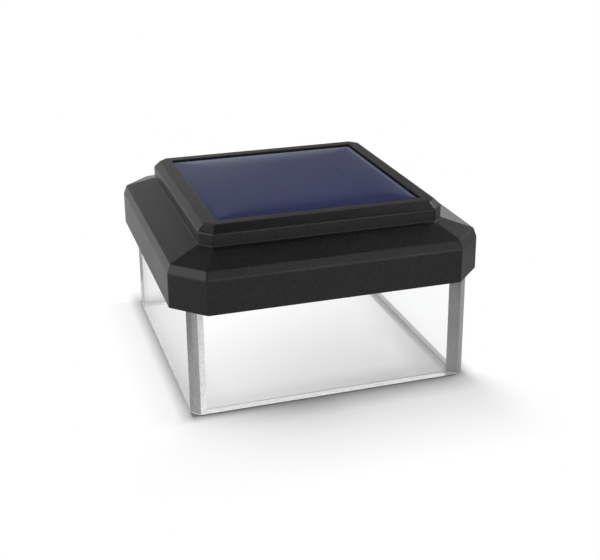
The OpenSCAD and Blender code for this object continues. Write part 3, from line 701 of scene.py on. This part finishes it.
class POSTCAP_OT_stage(bpy.types.Operator):
    """Sets up the pale floor, the white surroundings, the soft lamps and the camera"""
    bl_idname = "postcap.stage"
    bl_label = "Studio"

    def execute(self, context):
        scene, studio = context.scene, context.scene.studio
        scene.view_settings.view_transform = "Standard"
        self.floor(studio)
        self.surroundings(scene, studio)
        self.lamps(scene, studio)
        self.camera(scene, studio)
        return {"FINISHED"}

    def floor(self, studio):
        """Lays the floor: paint that a plain white glow covers, more or less for each kind of ray, but for a
        painted shadow.
        """
        reach, drop = 3.0, 0.2 * MM
        made, shop = material("studio floor")
        path = shop.node("ShaderNodeLightPath", {}, {})
        x, y, _ = shop.axes(shop.place())
        through = path["Is Transmission Ray"]
        # A ray through clear glass counts as glossy too
        gloss = path["Is Glossy Ray"] * (1 - through)
        outside = self.glow_outside(shop, studio, x, y)
        behind_glass = self.glow_behind_glass(studio, x, y, outside)
        mirrored = studio.floor_gloss * self.mirrored(shop, x, y)
        white = shop.node("ShaderNodeEmission", {}, {
            "Color": WHITE, "Strength": 1 - gloss * (1 - mirrored) + GLASS_LOSS * through})["Emission"]
        glow = path["Is Camera Ray"] * outside + gloss * 0.9 + through * behind_glass
        lit = shop.node("ShaderNodeMixShader", {}, {
            0: glow, 1: self.paint(shop, studio, x), 2: white})["Shader"]
        # From below the floor is clear, so that the underside shows
        below = shop.node("ShaderNodeNewGeometry", {}, {})["Backfacing"]
        clear = shop.node("ShaderNodeBsdfTransparent", {}, {})["BSDF"]
        shop.finish(shop.node("ShaderNodeMixShader", {}, {0: below, 1: lit, 2: clear})["Shader"])
        corners = np.array([[-reach, -reach, -drop], [reach, -reach, -drop],
                            [reach, reach, -drop], [-reach, reach, -drop]])
        plane = piece("studio_floor", (corners, [[0, 1, 2, 3]]), [made], smooth=False)

    def glow_outside(self, shop, studio, x, y):
        """How far the floor outside the skirt shows as plain white; where it falls short, it paints the
        shadow.

        It is sqrt(way / fade), and a tenth more far out. The way is
        hypot(off_x squeeze / (1 + ahead / 7 mm), off_y), where off_x and off_y are the distances from the
        shadow's square, off_y counts four times behind the object, and ahead is the distance in front of it.
        """
        off_x = (x.size() - studio.shade_reach).at_least(0)
        off_y = (y.size() - studio.shade_reach).at_least(0) * (1 + 3 * (y > 0))
        ahead = (-1 * y - studio.shade_reach).at_least(0)
        wide_x = off_x * (studio.shade_squeeze / (1 + ahead / (7 * MM)))
        way = (wide_x * wide_x + off_y * off_y).root()
        far = (way / studio.shade_fade).clamp().root() + shop.ramp(way, 30 * MM, 65 * MM, 0.0, 0.10)
        # Painted shade: next to the skirt's left half the floor is darker by about a fifth
        tail = shop.ramp((off_x * off_x + off_y * off_y).root(), 0.0, 22 * MM, 0.0, 1.0) + (x > 0)
        far = far.clamp() * (0.78 + 0.22 * tail.clamp())
        # In front the painted shadow gets fainter towards its left end, and it stops beyond the right corner
        faint = shop.ramp(x, -10 * MM, -90 * MM, 0.0, 0.85, True) * shop.ramp(ahead, 0.0, 6 * MM, 0.0, 1.0)
        faint = faint + shop.ramp(x, 58 * MM, 100 * MM, 0.0, 1.0, True)
        far = far + (1 - far) * faint
        return studio.floor_glow + (1 - studio.floor_glow) * far

    def glow_behind_glass(self, studio, x, y, outside):
        """How far the floor shows as plain white through the panes, which paints the shade under the cap.

        Inside the skirt it rises along y - 0.6 x, a painted shade from the front right to the back left. Under
        the front and the right pane it has values of its own, and a painted dark hem of shadow runs along the
        right pane.
        """
        low, high, right = studio.floor_glow_low, studio.floor_glow_high, studio.floor_glow_right
        reach, hem = studio.shade_reach, studio.shade_hem
        inside = (x.size() < reach) * (y.size() < reach)
        light = ((y - 0.6 * x) / 0.14 + 0.55).clamp()
        under_right = x > studio.foot_inner - 0.45 * hem
        under_front = (y < -studio.foot_inner) * (1 - under_right)
        within = low + (high - low) * light
        within = within + under_front * (high - within) + under_right * (right - within)
        beside = (x > 0) * (right + (1 - right) * (x > reach + hem))
        return inside * within + (1 - inside) * (outside + (x > reach) * (beside - outside))

    def mirrored(self, shop, x, y):
        """Brightness of the floor as a glossy face mirrors it: less far right, more at the back left."""
        return 1 - shop.ramp(x, 0.12, 0.25, 0.0, 0.42) \
            + shop.ramp(x, 0.0, -0.12, 0.0, 1.0) * shop.ramp(y, -0.13, 0.24, 0.0, 0.58)

    def paint(self, shop, studio, x):
        """Matt paint with a painted shade in the nook at the object's foot, where little of the sky reaches
        it.
        """
        nook = shop.node("ShaderNodeAmbientOcclusion", {"samples": 8}, {"Distance": 18 * MM})["AO"]
        on_left = x < -studio.shade_reach
        open_sky = 1 - (1 - nook * nook) * (1 - 0.65 * on_left)
        shaded = shop.blend(open_sky, (0, 0, 0), tuple(studio.floor))
        return shop.node("ShaderNodeBsdfDiffuse", {}, {"Color": shaded})["BSDF"]

    def surroundings(self, scene, studio):
        """Plain white for the camera and through glass, and else a pale screen behind a dimmer room."""
        scene.world = bpy.data.worlds.new("studio")
        shop = Shop(scene.world)
        direction = shop.node("ShaderNodeTexCoord", {}, {})["Generated"]
        right, back, up = shop.axes(direction)
        # The screen stands low behind the object, ends towards the left and hangs lower on the right
        raised = up + shop.ramp(right, 0.05, 0.36, 0.0, studio.screen_drop)
        screen = shop.node("ShaderNodeValToRGB", {"stops": [(place, (tone,) * 3) for place, tone in (
            (0.06, 1.0), (0.20, 0.50), (0.28, 0.37), (0.33, 0.28), (0.37, 0.195), (0.395, 0.14),
            (0.42, 0.13), (0.50, 0.045), (0.60, 0.075))]}, {"Fac": raised})["Color"]
        behind = screen * studio.horizon * shop.ramp(right, -0.34, -0.10, 0.50, 1.0) \
            * shop.ramp(right, 0.45, 0.60, 1.0, 3.0) * shop.ramp(right, 0.75, 0.90, 1.0, 0.33)
        before = shop.ramp(up, 0.25, 0.60, studio.before, studio.zenith)
        turn = shop.ramp(back, -0.2, 0.2, 0.0, 1.0)
        # A pale patch low on the left lights the cut corner's bevel
        patch = shop.ramp(right, -0.75, -0.90, 0.0, studio.patch) * shop.ramp(up, 0.35, 0.50, 1.0, 0.0)
        room = before + (behind - before) * turn + patch
        path = shop.node("ShaderNodeLightPath", {}, {})
        through = path["Is Transmission Ray"]
        seen = (path["Is Camera Ray"] + through).clamp()
        strength = seen * (1 + GLASS_LOSS * through) + (1 - seen) * room
        shop.finish(shop.node("ShaderNodeBackground", {}, {
            "Color": WHITE, "Strength": strength})["Background"])

    def lamps(self, scene, studio):
        """Three square soft lamps, each turned to the object's middle."""
        aim = Vector((0, 0, 0.05))
        for name, power, width, spot in (
                ("top_lamp", studio.key, 0.7, Vector((-0.45, 0.20, 1.2))),
                ("front_lamp", studio.front, 0.5, Vector((0.40, -1.10, 0.06))),
                ("side_lamp", studio.side, 0.6, Vector((1.05, 0.00, 0.95)))):
            lamp = bpy.data.lights.new(name, "AREA")
            lamp.shape, lamp.size, lamp.energy = "SQUARE", width, power
            made = bpy.data.objects.new(name, lamp)
            made.location = spot
            made.rotation_euler = (aim - spot).to_track_quat("-Z", "Y").to_euler()
            scene.collection.objects.link(made)

    def camera(self, scene, studio):
        """The photograph's camera: it looks along its axis at the target from the given distance."""
        data = bpy.data.cameras.new("photo_camera")
        data.lens, data.sensor_width, data.shift_y = studio.lens, SENSOR, studio.shift_y
        data.clip_start, data.clip_end = 0.01, 20.0
        made = bpy.data.objects.new("photo_camera", data)
        turn = Euler((radians(90) - studio.elevation, 0, studio.azimuth), "XYZ").to_matrix()
        turn = turn @ Matrix.Rotation(studio.roll, 3, "Z")
        spot = Vector(studio.target) + turn @ Vector((0, 0, studio.distance))
        made.matrix_world = Matrix.Translation(spot) @ turn.to_4x4()
        scene.collection.objects.link(made)
        scene.camera = made


class POSTCAP_PT_panel(bpy.types.Panel):
    """Lists the steps of the build"""
    bl_label = "Post cap light"
    bl_idname = "POSTCAP_PT_panel"
    bl_space_type = "VIEW_3D"
    bl_region_type = "UI"
    bl_category = "Post cap"

    def draw(self, context):
        for operator in OPERATORS:
            self.layout.operator(operator.bl_idname)
        for group in ("cap_sizes", "glass_sizes", "finishes", "studio"):
            block = getattr(context.scene, group)
            box = self.layout.box()
            for name in block.bl_rna.properties.keys():
                if name not in ("rna_type", "name"):
                    box.prop(block, name)


OPERATORS = (POSTCAP_OT_cap, POSTCAP_OT_panel, POSTCAP_OT_glass, POSTCAP_OT_underside, POSTCAP_OT_stage)
GROUPS = {"cap_sizes": CapSizes, "glass_sizes": GlassSizes, "finishes": Finishes, "studio": Studio}


def register():
    """Registers the groups of sizes, the operators and the panel."""
    for group in GROUPS.values():
        bpy.utils.register_class(group)
    for name, group in GROUPS.items():
        setattr(bpy.types.Scene, name, PointerProperty(type=group))
    for operator in OPERATORS:
        bpy.utils.register_class(operator)
    bpy.utils.register_class(POSTCAP_PT_panel)


def unregister():
    """Takes back what register did, in the reverse order."""
    bpy.utils.unregister_class(POSTCAP_PT_panel)
    for operator in reversed(OPERATORS):
        bpy.utils.unregister_class(operator)
    for name, group in GROUPS.items():
        delattr(bpy.types.Scene, name)
        bpy.utils.unregister_class(group)


def main():
    """Registers the classes and builds every piece in order."""
    register()
    for operator in OPERATORS:
        group, name = operator.bl_idname.split(".")
        getattr(getattr(bpy.ops, group), name)()
    bpy.context.view_layer.update()


if __name__ == "__main__":
    main()
